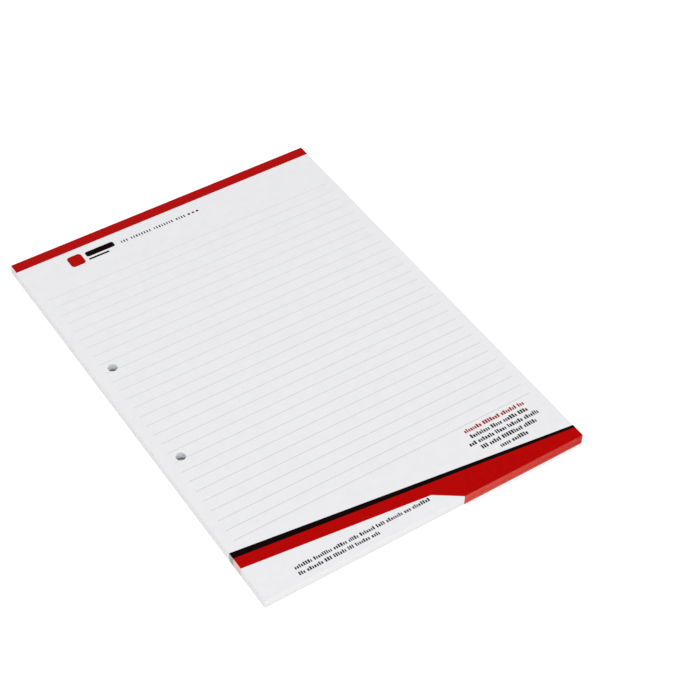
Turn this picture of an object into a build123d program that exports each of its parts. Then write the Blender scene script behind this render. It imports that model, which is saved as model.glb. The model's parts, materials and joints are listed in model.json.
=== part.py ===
from build123d import *
import os

# A gummed writing pad: a stack of sheets on a thin board, bound at the head and drilled for filing.
# Millimetres, +Z up. The pad lies face up, with its head towards +Y and its filing margin at -X.
# The origin is on the underside, at the middle of the whole outline.

# Sheet, portrait
sheet_width = 210.0
sheet_length = 297.0

# Stack of sheets
sheet_count = 50
sheet_thickness = 0.13

# Board under the stack, trimmed with it
board_thickness = 0.6

# Filing holes, drilled through the stack and the board in one go
hole_diameter = 6.0
hole_margin = 12.0
hole_spacing = 80.0
hole_count = 2

# Adhesive film on the head edge
gum_thickness = 0.3
gum_edge_radius = 0.12

# Sizes and places that follow from these
stack_thickness = sheet_count * sheet_thickness
pad_thickness = board_thickness + stack_thickness
outline_length = sheet_length + gum_thickness
left_edge = -sheet_width / 2
foot_edge = -outline_length / 2
head_edge = foot_edge + sheet_length
sheet_middle = (foot_edge + head_edge) / 2


def sheet_outline():
    """Cut outline that every sheet and the board share."""
    return Pos(0, sheet_middle) * Rectangle(sheet_width, sheet_length)


def filing_holes():
    """Row of filing holes down the left margin, centred on the length of the sheet."""
    row = GridLocations(hole_spacing, hole_spacing, 1, hole_count)
    margin_line = Pos(left_edge + hole_margin, sheet_middle)
    return margin_line * row * Circle(hole_diameter / 2)


def drilled_layer(base_height, thickness):
    """Layer of the pad with the shared outline, drilled through."""
    drilled_outline = sheet_outline() - filing_holes()
    return extrude(Pos(0, 0, base_height) * drilled_outline, amount=thickness)


def make_backing_board():
    """Stiff board that the pad lies on."""
    return drilled_layer(0, board_thickness)


def make_sheet_block():
    """All the sheets, pressed together."""
    return drilled_layer(board_thickness, stack_thickness)


def make_gum_strip():
    """Film over the head edge of every sheet and of the board.

    Its inner face seats on the cut edges. Its two outer long edges are rounded, as the brushed
    adhesive dries.
    """
    section = Pos(head_edge + gum_thickness / 2, pad_thickness / 2) * Rectangle(gum_thickness, pad_thickness)
    outer_corners = section.vertices().sort_by(Axis.X)[-2:]
    section = fillet(outer_corners, gum_edge_radius)
    film = extrude(Plane.YZ * section, amount=sheet_width / 2, both=True)
    return film


def main():
    os.makedirs("parts", exist_ok=True)
    pieces = {
        "backing_board": make_backing_board(),
        "sheet_block": make_sheet_block(),
        "gum_strip": make_gum_strip(),
    }
    for name, piece in pieces.items():
        export_step(piece, f"parts/{name}.step")
        print(name, "volume", round(piece.volume, 1), "mm3, size", piece.bounding_box().size)
    return pieces


main()
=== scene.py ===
# %% [markdown]
# # A ruled writing pad
#
# This lesson dresses a gummed writing pad: fifty sheets of white paper on a thin grey board, glued along the
# head, drilled with two filing holes and printed in red, black and grey. The solids come from the packed
# frame and stay where they are. Blender adds what the eye looks for: the leaves that show along the cut
# edges, ink that runs to the trim, ruled lines, drilled rims, brushed gum and the fibres of the board.

# %% Load the fixed frame
import json
import math
import random

import bmesh
import bpy
from mathutils import Matrix, Vector


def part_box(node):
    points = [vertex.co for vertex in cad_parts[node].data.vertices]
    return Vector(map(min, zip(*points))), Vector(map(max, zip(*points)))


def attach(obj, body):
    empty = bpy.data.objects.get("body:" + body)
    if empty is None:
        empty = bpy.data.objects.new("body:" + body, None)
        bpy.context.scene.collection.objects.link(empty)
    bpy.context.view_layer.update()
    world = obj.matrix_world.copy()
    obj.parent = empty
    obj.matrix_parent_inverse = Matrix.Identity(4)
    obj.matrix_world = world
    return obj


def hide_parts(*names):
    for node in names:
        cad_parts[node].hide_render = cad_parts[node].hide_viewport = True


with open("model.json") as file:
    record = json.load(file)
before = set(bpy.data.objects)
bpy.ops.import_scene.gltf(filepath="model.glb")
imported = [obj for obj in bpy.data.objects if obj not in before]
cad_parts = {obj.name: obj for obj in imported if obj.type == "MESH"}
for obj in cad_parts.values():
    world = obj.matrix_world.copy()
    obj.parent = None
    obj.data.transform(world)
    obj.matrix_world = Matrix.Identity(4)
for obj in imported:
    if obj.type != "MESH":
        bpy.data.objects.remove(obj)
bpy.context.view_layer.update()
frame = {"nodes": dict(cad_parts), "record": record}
print("frame nodes:", sorted(frame["nodes"]))

# %% [markdown]
# ## Sizes come from the frame
#
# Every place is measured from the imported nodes, so the dressed pad still fits if the solids change a little.
# The sheet is laid out as a printer would do it: in millimetres, from its left edge and its foot.

# %% Read the sheet, the board, the gum and the holes
MM = 0.001
block_low, block_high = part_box("sheet_block")
board_low, board_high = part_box("backing_board")
gum_low, gum_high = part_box("gum_strip")
page_width = (block_high.x - block_low.x) / MM
page_length = (block_high.y - block_low.y) / MM
print(f"sheet {page_width:.1f} x {page_length:.1f} mm")
filing_holes = []
for mount in frame["record"]["mounts"]:
    if mount["kind"] == "bore":
        across = (mount["pos_m"][0] - block_low.x) / MM
        up = (mount["pos_m"][1] - block_low.y) / MM
        filing_holes.append((across, up, mount["dims"]["r_mm"]))
        print(f"{mount['name']}: {across:.1f} mm from the left edge, {up:.1f} mm from the foot")

# %% [markdown]
# ## The printer's layout
#
# A pad is printed on large sheets, then trimmed, so ink that should reach the edge is printed past it. That
# is called bleed, and it has a side effect worth modelling: the cut edge of every sheet carries a trace of
# the ink, and fifty of them together make a coloured stripe down the side of the pad. So the places of the
# bands are named once, here, and both the print and the edges use them.
#
# The foot band slants. It has a low and a high edge at the left side of the sheet and a high edge at the
# right, and its top is a black stripe, wider at the left than at the right.

# %% Name the places of the print, in millimetres
head_band_height = 7.5
head_band_foot = page_length - head_band_height
foot_band_low_left = 24.0
foot_band_high_left = 36.0
foot_band_high_right = 9.0
foot_band_turns = (113.0, 10.6)
foot_band_meets_foot = 128.0
stripe_height_left = 4.2
stripe_height_right = 2.0
stripe_low_left = foot_band_high_left - stripe_height_left
stripe_low_right = foot_band_high_right - stripe_height_right
line_count = 28
line_pitch = 8.0
line_margin = 6.2
line_width = 0.2
first_line_below_head = 39.2
print(f"{line_count} lines, {line_pitch} mm apart, between a band at the head and a band at the foot")

# %% [markdown]
# ## Helpers for meshes
#
# A mesh is a list of corners and a list of faces that name them. The first helper takes a place on the sheet
# to the frame's metres, and every corner of the print and the leaves goes through it. The second puts a
# finished mesh on the pad and has it ride there, so that no piece is forgotten.

# %% Place a corner on the sheet, and a mesh on the pad
def on_page(across, up, height):
    """A place on the sheet, in millimetres, at a height in metres, as a point of the frame."""
    return Vector((block_low.x + across * MM, block_low.y + up * MM, height))


def add_piece(name, mesh, finishes, replaces=None):
    """Put a mesh on the pad, with its finishes, and hide the solid it stands for, if any."""
    for finish in finishes:
        mesh.materials.append(finish)
    piece = bpy.data.objects.new(name, mesh)
    bpy.context.scene.collection.objects.link(piece)
    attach(piece, "root")
    if replaces:
        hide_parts(replaces)
    print(f"{name}: {len(mesh.polygons)} faces")


# %% [markdown]
# ## Helpers for finishes
#
# Nearly all the finishes on the pad are dry and fibrous, and differ in colour, grain and sheen. Each starts
# from the same shader, and a noise texture measured in the frame's metres gives its mottling and its tooth.
# The texture reads the piece's own coordinates, so the grain stays put when the camera moves.

# %% Start a finish, and add a grain to it
def new_finish(name, roughness, sheen_level):
    """A material and its main shader, with its roughness and how much it mirrors."""
    finish = bpy.data.materials.new(name)
    finish.use_nodes = True
    shader = finish.node_tree.nodes["Principled BSDF"]
    shader.inputs["Roughness"].default_value = roughness
    shader.inputs["Specular IOR Level"].default_value = sheen_level
    print(f"finish {name}: roughness {roughness}")
    return finish, finish.node_tree, shader


def grain(tree, size, detail=2.0):
    """Noise with blotches about size across, in metres: one number, or one for each axis."""
    sizes = size if isinstance(size, tuple) else (size, size, size)
    place = tree.nodes.new("ShaderNodeTexCoord")
    scaled = tree.nodes.new("ShaderNodeMapping")
    scaled.inputs["Scale"].default_value = [1 / value for value in sizes]
    noise = tree.nodes.new("ShaderNodeTexNoise")
    noise.inputs["Scale"].default_value = 1.0
    noise.inputs["Detail"].default_value = detail
    tree.links.new(place.outputs["Object"], scaled.inputs["Vector"])
    tree.links.new(scaled.outputs["Vector"], noise.inputs["Vector"])
    return noise.outputs["Fac"]


# %% [markdown]
# A grain is only a number between 0 and 1 at each place. To be seen, it has to choose between two colours or
# raise the surface. Where the surface is and where it faces are numbers too, and can steer a colour in the
# same way.

# %% Turn a number into a colour, a share or a relief
MIX_FIRST, MIX_SECOND, MIX_RESULT = 6, 7, 2  # the sockets for colours on a Mix node


def tint(tree, amount, dark, light, low=0.3, high=0.7):
    """A colour from dark to light as amount goes from low to high."""
    ramp = tree.nodes.new("ShaderNodeValToRGB")
    ramp.color_ramp.elements[0].position = low
    ramp.color_ramp.elements[0].color = (*dark, 1)
    ramp.color_ramp.elements[1].position = high
    ramp.color_ramp.elements[1].color = (*light, 1)
    tree.links.new(amount, ramp.inputs["Fac"])
    return ramp.outputs["Color"]


def part_of(tree, coordinate, axis):
    """One axis of where the surface is ("Object") or of where it faces ("Normal")."""
    place = tree.nodes.new("ShaderNodeTexCoord")
    parts = tree.nodes.new("ShaderNodeSeparateXYZ")
    tree.links.new(place.outputs[coordinate], parts.inputs["Vector"])
    return parts.outputs[axis]


def rising(tree, value, low, high):
    """0 where the value is at low, 1 where it is at high, and even in between."""
    share = tree.nodes.new("ShaderNodeMapRange")
    share.inputs["From Min"].default_value = low
    share.inputs["From Max"].default_value = high
    tree.links.new(value, share.inputs["Value"])
    return share.outputs["Result"]


def blended(tree, share, first, second):
    """The first colour where the share is 0, and the second, from a node or plain, where it is 1."""
    mix = tree.nodes.new("ShaderNodeMix")
    mix.data_type = "RGBA"
    tree.links.new(share, mix.inputs["Factor"])
    tree.links.new(first, mix.inputs[MIX_FIRST])
    if isinstance(second, tuple):
        mix.inputs[MIX_SECOND].default_value = (*second, 1)
    else:
        tree.links.new(second, mix.inputs[MIX_SECOND])
    return mix.outputs[MIX_RESULT]


def speckled(tree, colour, amount, spot_colour, low, high):
    """The colour, giving way to a spot colour as amount goes from low to high."""
    return blended(tree, rising(tree, amount, low, high), colour, spot_colour)


def relief(tree, shader, amount, depth, previous=None):
    """Bumps as deep as depth, in metres, where amount is high."""
    bump = tree.nodes.new("ShaderNodeBump")
    bump.inputs["Strength"].default_value = 1.0
    bump.inputs["Distance"].default_value = depth
    tree.links.new(amount, bump.inputs["Height"])
    if previous:
        tree.links.new(previous, bump.inputs["Normal"])
    tree.links.new(bump.outputs["Normal"], shader.inputs["Normal"])
    return bump.outputs["Normal"]


# %% [markdown]
# ## The paper
#
# Offset paper is nearly white, a little blue from its brightener, and matte. Held to the light it is cloudy,
# because the fibres lie in flocks a few millimetres wide. A broad grain gives that cloudiness, as a change
# of tone of about one part in thirty. A fine one darkens single fibres a little. Two more, as reliefs, give
# the tooth that a pen feels.

# %% Mix the paper's face
flock_size = 4.5 * MM
fibre_size = (0.5 * MM, 0.16 * MM, 0.3 * MM)


def make_paper_face():
    """Nearly white paper, clouded by its flocks and darkened a little by single fibres."""
    finish, tree, shader = new_finish("sheet_paper_face", 0.82, 0.2)
    flocks = tint(tree, grain(tree, flock_size, 3.0), (0.770, 0.771, 0.789), (0.795, 0.796, 0.812))
    fibres = speckled(tree, flocks, grain(tree, fibre_size, 4.0), (0.732, 0.732, 0.745), 0.5, 0.8)
    tree.links.new(fibres, shader.inputs["Base Color"])
    broad = relief(tree, shader, grain(tree, 1.6 * MM, 4.0), 0.004 * MM)
    relief(tree, shader, grain(tree, 0.3 * MM, 2.0), 0.003 * MM, broad)
    return finish


paper_face = make_paper_face()

# %% [markdown]
# ## The cut edges
#
# A guillotine leaves a face made of sheet ends. Its tone changes from leaf to leaf and hardly at all along
# them, so the grain is stretched: long along the edge and as thin as a few leaves across it. The inked
# stretches use the same streaks. They are paler than the print, because only the rim of each sheet holds
# ink. The pile leans a little when it is trimmed, so the foot shows each leaf's inked rim, and the sides show
# a mere trace of it, hardly a blush beside the head band. The red of the foot grows deeper towards the
# corner, so that finish shifts to a second colour on its way.

# %% Mix the cut edges, plain and inked
streak_size = (22 * MM, 22 * MM, 0.34 * MM)
fine_streak_size = (5 * MM, 5 * MM, 0.12 * MM)
deepening_lead = 10
deepening_overrun = 25
deepening_starts = foot_band_meets_foot - deepening_lead
deepening_ends = page_width + deepening_overrun


def make_cut_edge(name, dark, light, fleck, deepest=None):
    """Finish of a cut face; with a deepest colour, it shifts towards that to the right."""
    finish, tree, shader = new_finish(name, 0.9, 0.15)
    streaks = tint(tree, grain(tree, streak_size, 3.0), dark, light)
    if deepest:
        start = block_low.x + deepening_starts * MM
        end = block_low.x + deepening_ends * MM
        streaks = speckled(tree, streaks, part_of(tree, "Object", "X"), deepest, start, end)
    flecked = speckled(tree, streaks, grain(tree, fine_streak_size, 2.0), fleck, 0.58, 0.78)
    tree.links.new(flecked, shader.inputs["Base Color"])
    relief(tree, shader, grain(tree, fine_streak_size, 2.0), 0.02 * MM)
    return finish


paper_edge = make_cut_edge("sheet_edge_plain", (0.72, 0.72, 0.725), (0.775, 0.775, 0.775), (0.7, 0.7, 0.7))
red_edge = make_cut_edge(
    "sheet_edge_red",
    (0.56, 0.050, 0.033),
    (0.63, 0.092, 0.062),
    (0.67, 0.17, 0.13),
    deepest=(0.478, 0.010, 0.010),
)
red_trace = make_cut_edge("sheet_edge_red_trace", (0.71, 0.50, 0.48), (0.75, 0.61, 0.595), (0.71, 0.66, 0.65))
faint_trace = make_cut_edge(
    "sheet_edge_faint_trace", (0.71, 0.66, 0.66), (0.76, 0.72, 0.72), (0.70, 0.69, 0.69)
)
black_trace = make_cut_edge(
    "sheet_edge_black_trace", (0.34, 0.33, 0.33), (0.46, 0.45, 0.45), (0.58, 0.57, 0.57)
)

# %% [markdown]
# ## The drilled walls
#
# A hollow drill leaves a wall that is rougher than a guillotined edge. Little light gets down there, and the
# finish paints that in: it reads the height up the pad and is paler than the page near the top as painted
# light, and dark near the bottom as painted shade, with leaf streaks over it. It is a little bluer than the
# page, because light that has gone through several sheets comes back blue from their brightener. The rim of
# the top sheet is pressed smooth, and its finish is a shade whiter as a painted highlight.

# %% Mix the drilled walls and the pressed rims
drilled_streak_size = (6 * MM, 6 * MM, 0.3 * MM)


def make_drilled_wall():
    """Rough, bluish leaf ends, painted pale near the top and dark at the bottom as light and shade, that let a
    little light through.
    """
    finish, tree, shader = new_finish("drilled_wall", 0.9, 0.1)
    height = rising(tree, part_of(tree, "Object", "Z"), block_low.z, block_high.z)
    # Painted light and shade: paler than the page near the top of the hole, dark near its bottom.
    painted_depth_light_and_shade = tint(tree, height, (0.20, 0.20, 0.23), (0.88, 0.885, 0.93), 0.04, 0.34)
    streaks = grain(tree, drilled_streak_size, 3.0)
    streaked = speckled(tree, painted_depth_light_and_shade, streaks, (0.50, 0.50, 0.54), 0.55, 0.9)
    tree.links.new(streaked, shader.inputs["Base Color"])
    shader.inputs["Subsurface Weight"].default_value = 0.7
    shader.inputs["Subsurface Radius"].default_value = (1.0, 1.0, 1.0)
    shader.inputs["Subsurface Scale"].default_value = 1.2 * MM
    relief(tree, shader, grain(tree, fine_streak_size, 2.0), 0.03 * MM)
    return finish


def make_rim_painted_highlight():
    """Paper pressed smooth by the drill, painted a shade whiter than the page as a highlight."""
    finish, tree, shader = new_finish("rim_painted_highlight", 0.7, 0.25)
    # Painted highlight: the rim is coloured whiter than the page so that it reads as a pale ring.
    smooth = tint(tree, grain(tree, 0.8 * MM, 2.0), (0.84, 0.84, 0.85), (0.87, 0.87, 0.88))
    tree.links.new(smooth, shader.inputs["Base Color"])
    relief(tree, shader, grain(tree, 0.4 * MM, 2.0), 0.003 * MM)
    return finish


drilled_wall = make_drilled_wall()
rim_painted_highlight = make_rim_painted_highlight()

# %% [markdown]
# ## The stack of sheets
#
# The stack could be a box with a striped texture. It would look right from a step away and flat from close
# by, so here every leaf is real: a thin layer whose four edges sit back a few hundredths of a millimetre more
# or less than its neighbours', as they do after jogging, trimming and handling. One closed mesh holds them
# all. It is a pile of rings, two for each sheet, joined by upright faces at the cut and by narrow ledges
# between leaves.
#
# The stack is glued at the head, so the leaves line up there and wander most at the foot.

# %% Work out how far each leaf sits back
leaf_thickness = 0.13 * MM
ink_lift = 0.03 * MM
page_top = block_high.z - ink_lift
leaf_count = round((block_high.z - block_low.z) / leaf_thickness)
leaf_rise = (page_top - block_low.z) / leaf_count
most_set_back = {"left": 0.10, "right": 0.10, "foot": 0.14, "head": 0.015}
top_set_back = 0.02
step_share = 0.35
leaf_draw = random.Random(11)


def kept_within(value, most):
    """The value, turned back where it passes 0 or the most, so that no two leaves line up at a limit."""
    return most - abs(most - abs(value))


def leaf_set_backs():
    """How far each leaf's edges sit back, in millimetres, wandering a little from leaf to leaf."""
    set_backs = []
    now = {side: most / 2 for side, most in most_set_back.items()}
    for number in range(leaf_count):
        for side, most in most_set_back.items():
            now[side] = kept_within(now[side] + leaf_draw.uniform(-step_share, step_share) * most, most)
        set_backs.append(dict(now))
    set_backs[-1] = {side: min(top_set_back, most) for side, most in most_set_back.items()}
    return set_backs


leaves = leaf_set_backs()
print(f"{leaf_count} leaves, {leaf_rise / MM:.4f} mm each")

# %% [markdown]
# ### The trim
#
# The trim line goes once round the sheet, counter-clockwise from the left corner of the foot. Each stretch
# has the finish of its cut edge, and a corner is added wherever ink meets bare paper.

# %% Walk round the trim and say which stretches carry ink
FACE, PLAIN, RED, RED_TRACE, FAINT_TRACE, BLACK_TRACE, WALL, RIM = range(8)
stack_finishes = [
    paper_face, paper_edge, red_edge, red_trace, faint_trace, black_trace, drilled_wall, rim_painted_highlight
]
trim_line = [
    (0, 0, PLAIN),
    (foot_band_meets_foot, 0, RED),
    (page_width, 0, RED_TRACE),
    (page_width, stripe_low_right, BLACK_TRACE),
    (page_width, foot_band_high_right, PLAIN),
    (page_width, head_band_foot, FAINT_TRACE),
    (page_width, page_length, RED),
    (0, page_length, FAINT_TRACE),
    (0, head_band_foot, PLAIN),
    (0, foot_band_high_left, BLACK_TRACE),
    (0, stripe_low_left, RED_TRACE),
    (0, foot_band_low_left, PLAIN),
]
print(len(trim_line), "stretches of trim")


def set_back(across, up, leaf):
    """A place on the sheet, moved inside the leaf's own cut edges."""
    across = min(max(across, leaf["left"]), page_width - leaf["right"])
    up = min(max(up, leaf["foot"]), page_length - leaf["head"])
    return across, up


# %% [markdown]
# ### The holes
#
# The holes are drilled through the whole pad at once, and the bit leaves each leaf with a slightly different
# hole. Where it enters, it rolls the rims of the top few leaves outwards, which catches the light as a pale
# ring round the hole, and their finish paints the ring a shade whiter still as a painted highlight. The top
# sheet's own rim curls down in three small steps, each given as how far it is outside the drilled hole and
# how far below the page.

# %% Shape the rings of a hole and of a leaf
hole_corners = 48
drill_wander = 0.05
roll_depth = 0.7
roll_width = 0.32
least_roll = 0.1 * roll_width
top_rim = ((roll_width + 0.24, 0.0), (roll_width + 0.12, 0.02), (roll_width + 0.04, 0.05))
press_depth = 0.09
rim_width = top_rim[0][0]
register_wander = 0.18


def rolled_out(height):
    """How much wider a hole is at a height, in millimetres, because its upper rim is rolled."""
    depth = (page_top - height) / MM
    return roll_width * max(0.0, 1 - depth / roll_depth) ** 2


def hole_ring(hole, spread, height):
    """Corners of a drilled hole, wider by spread, in millimetres."""
    across, up, radius = hole
    reach = radius + spread
    ring = []
    for corner in range(hole_corners):
        turn = 2 * math.pi * corner / hole_corners
        ring.append(on_page(across + reach * math.cos(turn), up + reach * math.sin(turn), height))
    return ring


def leaf_ring(leaf, shift, height):
    """Corners of one leaf, with its print shifted along the trim."""
    ring = []
    for across, up, finish in trim_line:
        if 0 < across < page_width:
            across += shift
        if 0 < up < page_length:
            up += shift
        ring.append(on_page(*set_back(across, up, leaf), height))
    return ring


print(f"rims reach {rim_width:.2f} mm beyond the drilled holes")


# %% [markdown]
# ### One closed mesh
#
# Two neighbouring rings of corners are joined by a band of faces, upright at a leaf's cut and level on the
# ledge between two leaves. Level triangles between the outline and the holes close the pile below and above.

# %% Join rings and close them
def add_ring(work, points):
    """New corners of the mesh at the points."""
    return [work.verts.new(point) for point in points]


def join_rings(work, lower, upper, finishes, outward):
    """Faces between two rings of corners, facing away from the paper."""
    count = len(lower)
    for corner in range(count):
        after = (corner + 1) % count
        loop = [lower[corner], lower[after], upper[after], upper[corner]]
        if not outward:
            loop.reverse()
        face = work.faces.new(loop)
        face.material_index = finishes[corner]


def cap(work, rings, finish, upward):
    """Level triangles between an outer ring and the hole rings inside it."""
    edges = []
    for ring in rings:
        for corner, point in enumerate(ring):
            edges.append(work.edges.get((point, ring[(corner + 1) % len(ring)])))
    made = bmesh.ops.triangle_fill(work, use_beauty=True, use_dissolve=False, edges=edges)
    for face in made["geom"]:
        if isinstance(face, bmesh.types.BMFace):
            face.material_index = finish
            if (face.normal.z > 0) != upward:
                face.normal_flip()


def mesh_from(work, name):
    """The finished mesh."""
    mesh = bpy.data.meshes.new(name)
    work.to_mesh(mesh)
    work.free()
    return mesh


# %% [markdown]
# ### From the bottom up
#
# Each leaf adds a ring of corners for its outline and one for each hole, at its lower and at its upper face.
# Presses never lay the ink in quite the same place twice, so each leaf's inked stretches are shifted a little
# along the trim.

# %% Pile up the leaves
def leaf_rings(work):
    """For each leaf, at its lower and its upper face, its outline and its holes."""
    rings = []
    for number, leaf in enumerate(leaves):
        bottom = block_low.z + number * leaf_rise
        shift = leaf_draw.uniform(-register_wander, register_wander)
        roll = rolled_out(bottom + leaf_rise)
        spreads = [roll + leaf_draw.uniform(0.0, drill_wander) for hole in filing_holes]
        for height in (bottom, bottom + leaf_rise):
            outline = add_ring(work, leaf_ring(leaf, shift, height))
            drilled = []
            for hole, spread in zip(filing_holes, spreads):
                drilled.append(add_ring(work, hole_ring(hole, spread, height)))
            rings.append((outline, drilled))
    return rings


def rim_rings(work):
    """The steps of the top sheet's rims, from the lowest to the page, for each hole."""
    rims = []
    for spread, drop in reversed(top_rim):
        height = page_top - drop * MM
        rims.append([add_ring(work, hole_ring(hole, spread, height)) for hole in filing_holes])
    return rims


def build_stack():
    """The whole stack: walls from leaf to leaf, pressed rims, and a cap below and above."""
    work = bmesh.new()
    rings = leaf_rings(work)
    rims = rim_rings(work)
    walls = [finish for across, up, finish in trim_line]
    for (outline, drilled), (next_outline, next_drilled) in zip(rings, rings[1:]):
        join_rings(work, outline, next_outline, walls, True)
        for hole, next_hole in zip(drilled, next_drilled):
            rolled = rolled_out(hole[0].co.z) > least_roll
            join_rings(work, hole, next_hole, [RIM if rolled else WALL] * hole_corners, False)
    bottom_outline, bottom_holes = rings[0]
    top_outline, top_holes = rings[-1]
    for number, hole in enumerate(top_holes):
        for point in hole:
            point.co.z = page_top - press_depth * MM
        steps = [hole] + [rim[number] for rim in rims]
        for lower, upper in zip(steps, steps[1:]):
            join_rings(work, lower, upper, [RIM] * hole_corners, False)
    cap(work, [top_outline] + rims[-1], FACE, True)
    cap(work, [bottom_outline] + bottom_holes, FACE, False)
    work.normal_update()
    return mesh_from(work, "sheet_stack")


add_piece("sheet_stack", build_stack(), stack_finishes, "sheet_block")

# %% [markdown]
# ## The inks
#
# Ink on uncoated paper sinks in. It is flat, hardly shiny, a little cloudy where the sheet took it up
# unevenly, and a few fibres stay pale. The red is the strongest colour on the pad, so its shader mirrors
# almost nothing: even a faint reflection of white surroundings would wash it out. The red of the bands and
# the grey of the ruled lines thin towards the head, as they do where a plate runs short of ink.

# %% Mix the inks
def make_ink(name, dark, light, fibre, at_head=None):
    """Finish of printed ink; at_head is the thinner colour that it reaches at the head of the sheet."""
    finish, tree, shader = new_finish(name, 0.8, 0.02)
    solid = tint(tree, grain(tree, 3.0 * MM, 3.0), dark, light)
    if at_head:
        solid = speckled(tree, solid, part_of(tree, "Object", "Y"), at_head, block_low.y, block_high.y)
    printed = speckled(tree, solid, grain(tree, 0.35 * MM, 2.0), fibre, 0.66, 0.9)
    tree.links.new(printed, shader.inputs["Base Color"])
    relief(tree, shader, grain(tree, 0.4 * MM, 2.0), 0.003 * MM)
    return finish


red_ink = make_ink(
    "red_ink",
    (0.405, 0.0010, 0.0008),
    (0.440, 0.0016, 0.0013),
    (0.48, 0.014, 0.012),
    at_head=(0.41, 0.0047, 0.0042),
)
black_ink = make_ink("black_ink", (0.0040, 0.0010, 0.0012), (0.0065, 0.0022, 0.0024), (0.03, 0.024, 0.024))
rule_ink = make_ink(
    "rule_ink", (0.35, 0.35, 0.36), (0.41, 0.41, 0.42), (0.60, 0.60, 0.61), at_head=(0.65, 0.65, 0.66)
)
text_ink = make_ink("text_ink", (0.020, 0.018, 0.018), (0.040, 0.038, 0.038), (0.12, 0.12, 0.12))
text_red_ink = make_ink("text_red_ink", (0.30, 0.010, 0.012), (0.35, 0.018, 0.020), (0.45, 0.08, 0.08))

# %% [markdown]
# ## Print as shapes
#
# Print could be painted on the page by a texture, but a line a fifth of a millimetre wide is finer than any
# texture that a page-sized piece can carry, and would blur. So each field of ink is a shape of its own, as
# thin as a film, laid on the top sheet. Its outline is a list of places on the page. One flat face takes any
# number of corners, so an outline needs no cutting into triangles.

# %% Lay a set of flat shapes on the top sheet
def lay_print(name, outlines, finish):
    """One piece made of flat shapes, each a list of places in millimetres, counter-clockwise."""
    work = bmesh.new()
    for outline in outlines:
        places = [set_back(across, up, leaves[-1]) for across, up in outline]
        under = add_ring(work, [on_page(across, up, page_top) for across, up in places])
        over = add_ring(work, [on_page(across, up, block_high.z) for across, up in places])
        work.faces.new(over)
        work.faces.new(list(reversed(under)))
        join_rings(work, under, over, [0] * len(under), True)
    add_piece(name, mesh_from(work, name), [finish])


def oblong(left, right, low, high):
    """Outline of a plain rectangle."""
    return [(left, low), (right, low), (right, high), (left, high)]


# %% [markdown]
# ### Bands of solid colour
#
# The head carries a plain red band, right across. The foot carries a slanting red band with a black stripe
# along its upper side, narrower to the right. Past the middle the band turns down and fills the corner. All
# of it runs off the sheet, where the trim line cuts it.

# %% Print the bands
head_band = oblong(0, page_width, head_band_foot, page_length)
foot_band = [
    (0, foot_band_low_left),
    foot_band_turns,
    (foot_band_meets_foot, 0),
    (page_width, 0),
    (page_width, stripe_low_right),
    (0, stripe_low_left),
]
foot_stripe = [
    (0, stripe_low_left),
    (page_width, stripe_low_right),
    (page_width, foot_band_high_right),
    (0, foot_band_high_left),
]
lay_print("head_band", [head_band], red_ink)
lay_print("foot_band", [foot_band], red_ink)
lay_print("foot_stripe", [foot_stripe], black_ink)

# %% [markdown]
# ### Ruled lines
#
# The lines keep the same margin left and right. A drilled hole takes away whatever was printed there, so a
# line that meets a hole stops at its rim and goes on behind it.

# %% Rule the page
def bar(left, right, middle, height):
    """Outline of a plain bar about a middle line."""
    return oblong(left, right, middle - height / 2, middle + height / 2)


def ruled_stretches(up):
    """Left and right ends of a line's stretches, at a height on the page, without what the holes took."""
    stretches = [(line_margin, page_width - line_margin)]
    for across, hole_up, radius in filing_holes:
        reach = radius + rim_width
        off = abs(up - hole_up)
        if off < reach:
            half = math.sqrt(reach**2 - off**2)
            last_left, last_right = stretches.pop()
            stretches += [(last_left, across - half), (across + half, last_right)]
    return stretches


lines = []
for number in range(line_count):
    up = page_length - first_line_below_head - number * line_pitch
    for left, right in ruled_stretches(up):
        lines.append(bar(left, right, up, line_width))
lay_print("ruled_lines", lines, rule_ink)

# %% [markdown]
# ### Plain marks at the head
#
# Three plain shapes with no meaning dress the head of the sheet: a rounded tile in red, and beside it two
# rounded bars in black, one heavy and one light. A round corner is a quarter of a circle walked in a few
# steps, so one function makes all three.

# %% Print the tile and the bars
corner_steps = 6
mark_low = page_length - 22.0
mark_high = page_length - 12.4
bars_left = 43.0


def rounded_bar(left, right, low, high, radius):
    """Outline of a rectangle with round corners."""
    quarters = [
        (right - radius, low + radius, -90),
        (right - radius, high - radius, 0),
        (left + radius, high - radius, 90),
        (left + radius, low + radius, 180),
    ]
    points = []
    for across, up, start in quarters:
        for step in range(corner_steps + 1):
            turn = math.radians(start + 90 * step / corner_steps)
            points.append((across + radius * math.cos(turn), up + radius * math.sin(turn)))
    return points


tile = rounded_bar(left=31.0, right=40.6, low=mark_low, high=mark_high, radius=2.2)
heavy_bar = rounded_bar(left=bars_left, right=62.5, low=mark_low + 3.9, high=mark_high - 1.2, radius=1.4)
light_bar = rounded_bar(left=bars_left, right=57.0, low=mark_low + 0.9, high=mark_low + 2.3, radius=0.6)
lay_print("mark_tile", [tile], red_ink)
lay_print("mark_bars", [heavy_bar, light_bar], black_ink)

# %% [markdown]
# ### Rows of blocks
#
# Letters would have to say something. A designer who only wants the grey of a row of type sets blocks in its
# place, and so does this page: upright blocks as large as letters, in groups as long as words, some of them
# tall as capitals are. Seeded draws vary their widths and heights. Sizes and gaps are shares of the letter
# size or of the spacing, so one function serves every row.

# %% Set rows of blocks
word_draw = random.Random(397)
word_lengths = (3, 9)
width_share = 0.36
width_variation = 0.25
low_height_share = 0.72
word_gap_spacings = 1.2
word_gap_sizes = 0.15


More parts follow.
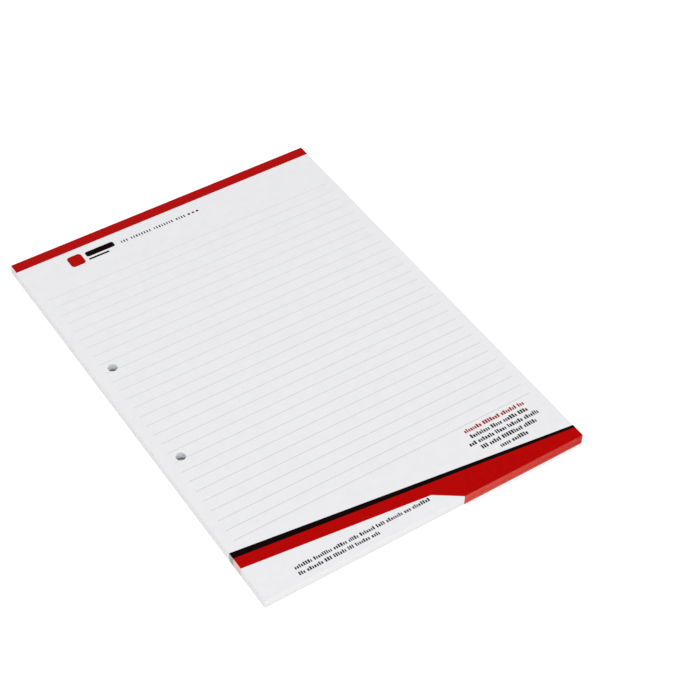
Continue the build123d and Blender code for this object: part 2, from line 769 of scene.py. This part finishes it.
def small_print(left, right, middle, size, spacing, tall_share=0.5):
    """A row of blocks, in groups as long as words, from left to about right."""
    foot = middle - size / 2
    shortest_word = word_lengths[0] * (width_share * size + spacing)
    blocks = []
    start = left
    letters_to_go = word_draw.randint(*word_lengths)
    while start < right:
        width = width_share * size * word_draw.uniform(1 - width_variation, 1 + width_variation)
        height = size if word_draw.random() < tall_share else low_height_share * size
        blocks.append(oblong(start, start + width, foot, foot + height))
        start += width + spacing
        letters_to_go -= 1
        if letters_to_go == 0:
            start += word_gap_spacings * spacing + word_gap_sizes * size
            letters_to_go = word_draw.randint(*word_lengths)
            if right - start < shortest_word:
                break
    return blocks


def centred_print(length, middle_across, middle_up, size, spacing):
    """A row of blocks about a middle."""
    blocks = small_print(0, length, middle_up, size, spacing)
    last_across = max(across for across, up in blocks[-1])
    shift = middle_across - last_across / 2
    return [[(across + shift, up) for across, up in block] for block in blocks]


# %% [markdown]
# The row at the head is wide-set and all tall, and ends in three small squares, the middle one red.

# %% Print the row and the squares at the head
head_row_middle = page_length - 17.15
head_row_left = 67.0
head_row_right = 112.6
head_row = small_print(head_row_left, head_row_right, head_row_middle, size=2.1, spacing=1.05, tall_share=1.0)
lay_print("strapline_blocks", head_row, text_ink)
square_size = 1.5
square_lefts = (114.5, 117.5, 120.5)
squares = [bar(left, left + square_size, head_row_middle, square_size) for left in square_lefts]
lay_print("strapline_squares", [squares[0], squares[2]], text_ink)
lay_print("strapline_red_square", [squares[1]], text_red_ink)

# %% [markdown]
# Above the foot band five rows are centred on one another, the first of them red. Each is given by its
# length and by how far its middle is from the foot. Below the band are two more rows, from a common left end,
# each given by its right end and the place of its middle.

# %% Print the rows near the foot
centred_middle = 175.6
centred_lines = [(42.2, 37.8), (39.9, 33.0), (47.1, 28.3), (38.1, 23.5), (18.5, 18.8)]
centred_rows = []
for length, up in centred_lines:
    centred_rows.append(centred_print(length, centred_middle, up, size=2.8, spacing=0.5))
lowest_left = 24.0
lowest_lines = [(109.5, 8.95), (75.0, 4.65)]
lowest_rows = []
for right, up in lowest_lines:
    lowest_rows.append(small_print(lowest_left, right, up, size=2.4, spacing=0.5))
lay_print("address_heading_blocks", centred_rows[0], text_red_ink)
lay_print("address_blocks", sum(centred_rows[1:], []), text_ink)
lay_print("footnote_blocks", sum(lowest_rows, []), text_ink)

# %% [markdown]
# ## The gum on the head
#
# Padding gum is brushed over the head edge of a whole pile of pads and dries to a soft, slightly glossy
# skin. It is thin enough for the red rims of the sheets to show through as fine lines, under milky patches
# where it lies thicker.

# %% Mix the gum
rim_line_size = (40 * MM, 40 * MM, 0.3 * MM)
milky_patch_size = (24 * MM, 24 * MM, 2.4 * MM)
brush_drag_size = (14 * MM, 14 * MM, 0.7 * MM)
hair_drag_size = (20 * MM, 20 * MM, 0.13 * MM)


def make_gum():
    """Soft red-tinted skin with milky patches, dragged along by the brush."""
    finish, tree, shader = new_finish("padding_gum", 0.34, 0.5)
    rim_lines = tint(tree, grain(tree, rim_line_size, 4.0), (0.45, 0.035, 0.028), (0.56, 0.075, 0.060))
    patches = grain(tree, milky_patch_size, 3.0)
    milky = speckled(tree, rim_lines, patches, (0.60, 0.19, 0.165), 0.42, 0.78)
    tree.links.new(milky, shader.inputs["Base Color"])
    drags = relief(tree, shader, grain(tree, brush_drag_size, 3.0), 0.06 * MM)
    relief(tree, shader, grain(tree, hair_drag_size, 2.0), 0.008 * MM, drags)
    return finish


padding_gum = make_gum()

# %% [markdown]
# ### Brushed on
#
# The skin could be a box, but the brush leaves it uneven, so its outer face is a grid of points pushed in and
# out by a few hundredths of a millimetre. Six slanting waves of different lengths add up to a ripple that
# doesn't repeat. The film thins at its long edges and sits flat on the paper inside.

# %% Brush the gum on
gum_columns = 160
gum_rows = 10
gum_draw = random.Random(3)
wave_count = 6
edge_share = 0.45
edge_steepness = 4.5
middle_share = 0.86


def draw_waves():
    """Each wave's turn along the film in radians, its start, its height as a share, and its slant."""
    waves = []
    for number in range(wave_count):
        along = gum_draw.uniform(20, 160)
        start = gum_draw.uniform(0, 6.28)
        height = gum_draw.uniform(0.02, 0.05)
        slant = gum_draw.uniform(-4, 4)
        waves.append((along, start, height, slant))
    return waves


def gum_thickness(column, row, waves):
    """Share of the full film: under half at its long edges, and near 1 between them."""
    share = row / gum_rows
    crown = min(1.0, edge_steepness * min(share, 1 - share) + edge_share)
    ripple = 0.0
    for along, start, height, slant in waves:
        ripple += height * math.sin(along * column / gum_columns + slant * share + start)
    return crown * min(1.0, middle_share + ripple)


def rim_of(grid):
    """The corners round the outside of a grid, in order."""
    right_side = [row[-1] for row in grid[1:]]
    left_side = [row[0] for row in grid[-2:0:-1]]
    return grid[0] + right_side + grid[-1][-2::-1] + left_side


def build_gum():
    """The film, from its flat inner face to its rippled outer one."""
    work = bmesh.new()
    waves = draw_waves()
    full = gum_high.y - gum_low.y
    outer, inner = [], []
    for row in range(gum_rows + 1):
        height = gum_low.z + (gum_high.z - ink_lift - gum_low.z) * row / gum_rows
        outer_row, inner_row = [], []
        for column in range(gum_columns + 1):
            across = gum_low.x + (gum_high.x - gum_low.x) * column / gum_columns
            depth = full * gum_thickness(column, row, waves)
            outer_row.append(work.verts.new((across, gum_low.y + depth, height)))
            inner_row.append(work.verts.new((across, gum_low.y, height)))
        outer.append(outer_row)
        inner.append(inner_row)
    for row in range(gum_rows):
        for column in range(gum_columns):
            for grid, turned in ((outer, True), (inner, False)):
                below, above = grid[row], grid[row + 1]
                loop = [below[column], below[column + 1], above[column + 1], above[column]]
                work.faces.new(list(reversed(loop)) if turned else loop)
    rim = rim_of(inner)
    join_rings(work, rim, rim_of(outer), [0] * len(rim), False)
    bmesh.ops.recalc_face_normals(work, faces=work.faces)
    mesh = mesh_from(work, "gum_film")
    mesh.shade_smooth()
    return mesh


add_piece("gum_film", build_gum(), [padding_gum], "gum_strip")

# %% [markdown]
# ## The backing board
#
# The board is the solid from the frame: a flat sheet, drilled with the rest, whose shape needs nothing
# added. Its finish does the work. The cut edge is almost as white as the sheets', so the finish looks at
# which way the surface faces. The knife that trims the foot drags ink down with it, so below the red band
# the board's edge is a dull red, and the finish asks where on the foot it is as well.

# %% Ask the surface which way it faces and where it is
faces_foot_from = -0.5
faces_foot_fully = -0.9
ink_edge_width = 0.3 * MM


def without_sign(tree, value):
    """The value without its sign."""
    size = tree.nodes.new("ShaderNodeMath")
    size.operation = "ABSOLUTE"
    tree.links.new(value, size.inputs[0])
    return size.outputs["Value"]


def on_inked_foot(tree):
    """1 on the cut foot where the red band meets it, and 0 elsewhere."""
    both = tree.nodes.new("ShaderNodeMath")
    both.operation = "MULTIPLY"
    band_start = block_low.x + foot_band_meets_foot * MM
    at_foot = rising(tree, part_of(tree, "Normal", "Y"), faces_foot_from, faces_foot_fully)
    at_band = rising(tree, part_of(tree, "Object", "X"), band_start - ink_edge_width, band_start)
    tree.links.new(at_foot, both.inputs[0])
    tree.links.new(at_band, both.inputs[1])
    return both.outputs["Value"]


# %% [markdown]
# Such board is pulped waste paper, a pale and slightly warm grey with soft clouds, darker and paler flecks of
# old print, and a coarse tooth. The flat faces get the clouds and the flecks, and the upright ones the cut.

# %% Mix the board and give it to the solid
pulp_size = (2.2 * MM, 1.4 * MM, 1.4 * MM)
dark_fleck_size = (1.5 * MM, 0.9 * MM, 0.9 * MM)
pale_fleck_size = (0.7 * MM, 1.9 * MM, 0.7 * MM)


def make_board_finish():
    """Clouded and flecked pulp on the flat faces, and a pale or inked cut on the upright ones."""
    finish, tree, shader = new_finish("pulp_board", 0.93, 0.15)
    clouds = tint(tree, grain(tree, 26 * MM, 5.0), (0.515, 0.505, 0.48), (0.57, 0.56, 0.535))
    pulp = speckled(tree, clouds, grain(tree, pulp_size, 5.0), (0.44, 0.43, 0.41), 0.45, 0.75)
    darker = speckled(tree, pulp, grain(tree, dark_fleck_size, 2.0), (0.20, 0.20, 0.20), 0.66, 0.72)
    flecked = speckled(tree, darker, grain(tree, pale_fleck_size, 2.0), (0.74, 0.73, 0.71), 0.64, 0.72)
    plain_cut = tint(tree, grain(tree, streak_size, 3.0), (0.71, 0.708, 0.70), (0.765, 0.763, 0.755))
    inked_cut = tint(tree, grain(tree, fine_streak_size, 3.0), (0.40, 0.065, 0.055), (0.50, 0.115, 0.10))
    cut = blended(tree, on_inked_foot(tree), plain_cut, inked_cut)
    flatness = without_sign(tree, part_of(tree, "Normal", "Z"))
    tree.links.new(blended(tree, flatness, cut, flecked), shader.inputs["Base Color"])
    relief(tree, shader, grain(tree, 0.7 * MM, 4.0), 0.03 * MM)
    return finish


board = frame["nodes"]["backing_board"]
board.data.materials.clear()
board.data.materials.append(make_board_finish())
print("backing board:", len(board.data.polygons), "faces, from the frame")

# %% [markdown]
# ## A pale floor
#
# The floor is a light table, white and glowing a little. That keeps it whiter than paper right up to the
# pad, and lets hardly any red from the cut edges tint it. It doesn't glow where the pad covers it, or the
# holes would be lit from below. So it has two parts in one mesh: a plain rectangle just inside the pad's
# outline, and a glowing frame of four faces round it that reaches several metres out.

# %% Lay the floor
table_glow = 0.23
floor_reach = 6.0
covered_inset = 3 * MM


def make_floor():
    """A glowing floor that is dark under the pad."""
    lit, tree, shader = new_finish("floor_white", 0.95, 0.0)
    shader.inputs["Base Color"].default_value = (0.96, 0.96, 0.96, 1)
    shader.inputs["Emission Color"].default_value = (1, 1, 1, 1)
    shader.inputs["Emission Strength"].default_value = table_glow
    covered, tree, shader = new_finish("floor_covered", 0.95, 0.0)
    shader.inputs["Base Color"].default_value = (0.8, 0.8, 0.8, 1)
    left, right = board_low.x + covered_inset, board_high.x - covered_inset
    low, high = board_low.y + covered_inset, board_high.y - covered_inset
    outlines = oblong(left, right, low, high) + oblong(-floor_reach, floor_reach, -floor_reach, floor_reach)
    around = [(side, side + 4, (side + 1) % 4 + 4, (side + 1) % 4) for side in range(4)]
    mesh = bpy.data.meshes.new("floor")
    mesh.from_pydata([(across, up, 0) for across, up in outlines], [], [(0, 1, 2, 3)] + around)
    mesh.materials.append(lit)
    mesh.materials.append(covered)
    mesh.polygons[0].material_index = 1
    floor = bpy.data.objects.new("floor", mesh)
    bpy.context.scene.collection.objects.link(floor)


make_floor()

# %% [markdown]
# ## Soft light
#
# A product photograph of white paper on a white ground is lit from all round, a little more from the front.
# A plain white world does the first. One broad lamp, before the foot and slightly to the left, does the
# second, so the cut foot gets more light than the cut sides.

# %% Light the pad
sky_strength = 0.89
lamp_power = 12.4
lamp_size = 1.6
lamp_place = Vector((-0.45, -1.31, 1.72))


def light_scene():
    """A white world, and a broad lamp that points at the pad."""
    world = bpy.data.worlds.new("white_room")
    bpy.context.scene.world = world
    world.use_nodes = True
    sky = world.node_tree.nodes["Background"]
    sky.inputs["Color"].default_value = (1, 1, 1, 1)
    sky.inputs["Strength"].default_value = sky_strength
    lamp_data = bpy.data.lights.new("front_lamp", "AREA")
    lamp_data.size = lamp_size
    lamp_data.energy = lamp_power
    lamp = bpy.data.objects.new("front_lamp", lamp_data)
    lamp.location = lamp_place
    lamp.rotation_euler = (-lamp_place).to_track_quat("-Z", "Y").to_euler()
    bpy.context.scene.collection.objects.link(lamp)
    bpy.context.scene.view_settings.view_transform = "Standard"
    print(f"lamp of {lamp_power} W, {lamp_place.length:.2f} m from the pad")


light_scene()

# %% [markdown]
# ## The camera
#
# The camera looks down on the pad from the left of its foot. Its three axes are written out, which keeps the
# small roll of a hand-held frame: back points from the pad to the camera, and right and up span the picture.
# The pad sits left of the picture's middle, so the camera is moved sideways along its own right axis. The
# focal length is known in the picture's pixels, and becomes millimetres by the width of the sensor.

# %% Place the camera
camera_azimuth = math.radians(-34.25)
camera_elevation = math.radians(46.29)
camera_roll = math.radians(1.24)
camera_distance = 1.05526
camera_right = 0.03823
camera_up = 0.0008
aim_height = 0.00325
focal_pixels = 1791.15
picture_pixels = 700
focal_share = focal_pixels / picture_pixels


def place_camera():
    """The camera, aimed at the middle of the sheet and then moved along its own axes."""
    back = Vector((
        math.sin(camera_azimuth) * math.cos(camera_elevation),
        -math.cos(camera_azimuth) * math.cos(camera_elevation),
        math.sin(camera_elevation),
    ))
    level = Vector((math.cos(camera_azimuth), math.sin(camera_azimuth), 0))
    upright = back.cross(level)
    right = level * math.cos(camera_roll) + upright * math.sin(camera_roll)
    up = upright * math.cos(camera_roll) - level * math.sin(camera_roll)
    data = bpy.data.cameras.new("camera")
    data.lens = data.sensor_width * focal_share
    camera = bpy.data.objects.new("camera", data)
    middle = Vector(((block_low.x + block_high.x) / 2, (block_low.y + block_high.y) / 2, aim_height))
    eye = middle + back * camera_distance + right * camera_right + up * camera_up
    turned = Matrix((right, up, back)).transposed().to_4x4()
    camera.matrix_world = Matrix.Translation(eye) @ turned
    bpy.context.scene.collection.objects.link(camera)
    bpy.context.scene.camera = camera
    print("camera at", [round(value, 3) for value in eye], "lens", round(data.lens, 1), "mm")


place_camera()
